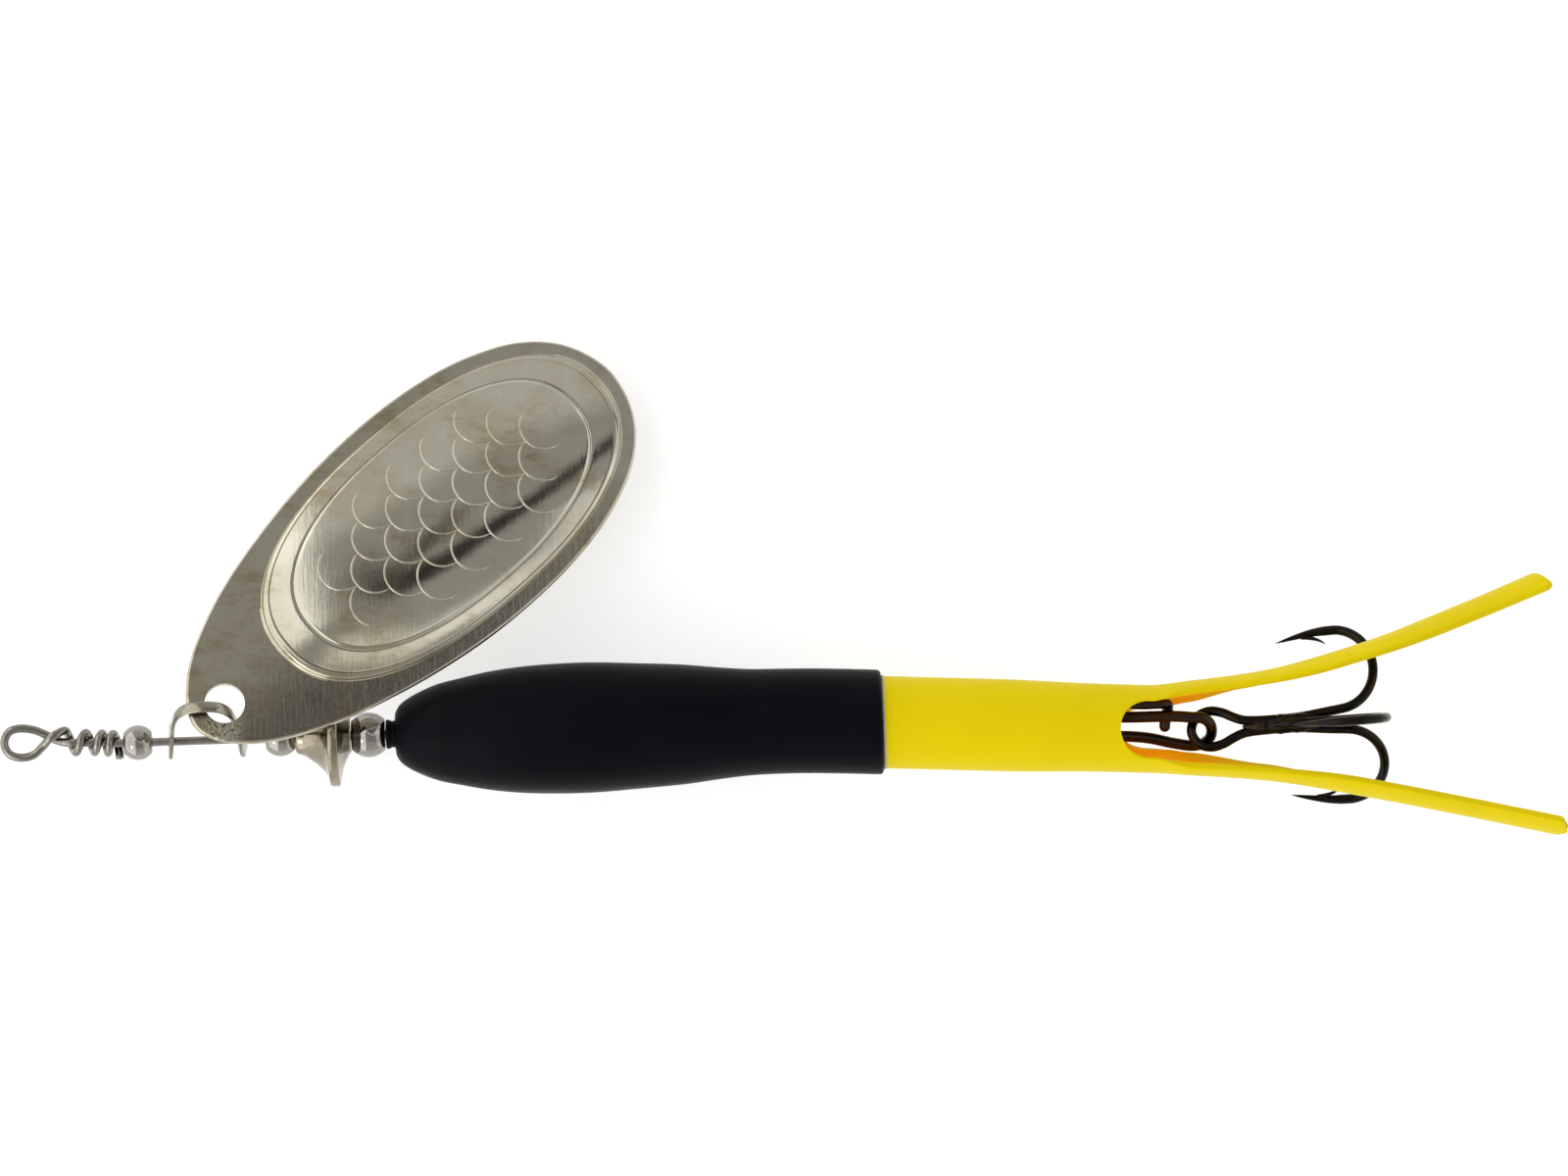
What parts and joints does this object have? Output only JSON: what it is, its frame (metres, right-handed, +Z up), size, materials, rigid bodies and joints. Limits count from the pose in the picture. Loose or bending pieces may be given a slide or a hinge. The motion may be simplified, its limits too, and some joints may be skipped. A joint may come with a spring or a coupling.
{
  "type": "inline spinner lure",
  "caption": "Inline spinner fishing lure: oval blade on a clevis, beads and bell collar on a wire, rubber-sleeved body, split soft tail, treble hook on a rear clip.",
  "frame": {"origin": "centre of the line eye, on the axis of the straight wire", "axes": "+X along the wire from the line eye to the tails, +Z up from the surface that the lure lies on, +Y towards the side the blade lies on"},
  "size_m": [0.1598, 0.0543, 0.0174],
  "materials": {
    "wire_shaft": "drawn stainless wire, fine lengthwise grain",
    "front_bead": "polished nickel",
    "clevis": "nickel-plated strip",
    "blade": "brushed and lightly tarnished nickel",
    "bearing_bead": "polished nickel",
    "bell_collar": "turned nickel-plated brass",
    "rear_bead": "polished nickel",
    "body_weight": "turned brass, hidden",
    "head_sleeve": "satin black rubber",
    "tail_tube": "satin yellow rubber",
    "upper_tail": "satin yellow rubber",
    "lower_tail": "satin yellow rubber",
    "rear_clip": "blackened spring wire",
    "treble_double_hook": "black nickel over steel",
    "treble_single_hook": "black nickel over steel"
  },
  "bodies": {
    "wire": {"wire_shaft": "wire_shaft", "body_weight": "body_weight", "head_sleeve": "head_sleeve", "tail_tube": "tail_tube"},
    "front_bead": {"front_bead": "front_bead"},
    "clevis": {"clevis": "clevis"},
    "blade": {"blade": "blade"},
    "bearing_bead": {"bearing_bead": "bearing_bead"},
    "bell_collar": {"bell_collar": "bell_collar"},
    "rear_bead": {"rear_bead": "rear_bead"},
    "upper_tail": {"upper_tail": "upper_tail"},
    "lower_tail": {"lower_tail": "lower_tail"},
    "clip": {"rear_clip": "rear_clip"},
    "treble": {"treble_double_hook": "treble_double_hook", "treble_single_hook": "treble_single_hook"}
  },
  "joints": [
    {"name": "front_bead_spin", "type": "hinge", "parent": "wire", "child": "front_bead", "pos_m": [0.0116, 0, 0], "axis": [1, 0, 0], "continuous": true},
    {"name": "clevis_spin", "type": "hinge", "parent": "wire", "child": "clevis", "pos_m": [0.0188, 0, 0], "axis": [1, 0, 0], "continuous": true},
    {"name": "blade_swing", "type": "hinge", "parent": "clevis", "child": "blade", "pos_m": [0.02093, 0.00367, 0.0058], "axis": [-0.6489, 0.7468, -0.1458], "range_deg": [-35, 0]},
    {"name": "bearing_bead_spin", "type": "hinge", "parent": "wire", "child": "bearing_bead", "pos_m": [0.02615, 0, 0], "axis": [1, 0, 0], "continuous": true},
    {"name": "bell_spin", "type": "hinge", "parent": "wire", "child": "bell_collar", "pos_m": [0.0305, 0, 0], "axis": [1, 0, 0], "continuous": true},
    {"name": "rear_bead_spin", "type": "hinge", "parent": "wire", "child": "rear_bead", "pos_m": [0.03515, 0, 0], "axis": [1, 0, 0], "continuous": true},
    {"name": "upper_tail_flex", "type": "hinge", "parent": "wire", "child": "upper_tail", "pos_m": [0.11515, 0.00148, 0], "axis": [0, 0, 1], "range_deg": [0, 12], "stiffness_Nm_per_rad": 0.004},
    {"name": "lower_tail_flex", "type": "hinge", "parent": "wire", "child": "lower_tail", "pos_m": [0.11515, -0.00595, 0], "axis": [0, 0, 1], "range_deg": [-12, 0], "stiffness_Nm_per_rad": 0.004},
    {"name": "clip_swing", "type": "hinge", "parent": "wire", "child": "clip", "pos_m": [0.1026, 0, 0], "axis": [0, 0, 1], "range_deg": [-0.5, 0.5]},
    {"name": "treble_swing", "type": "hinge", "parent": "clip", "child": "treble", "pos_m": [0.12115, -0.00247, -0.00065], "axis": [0, 0.7557, 0.6549], "range_deg": [-2, 18]}
  ]
}
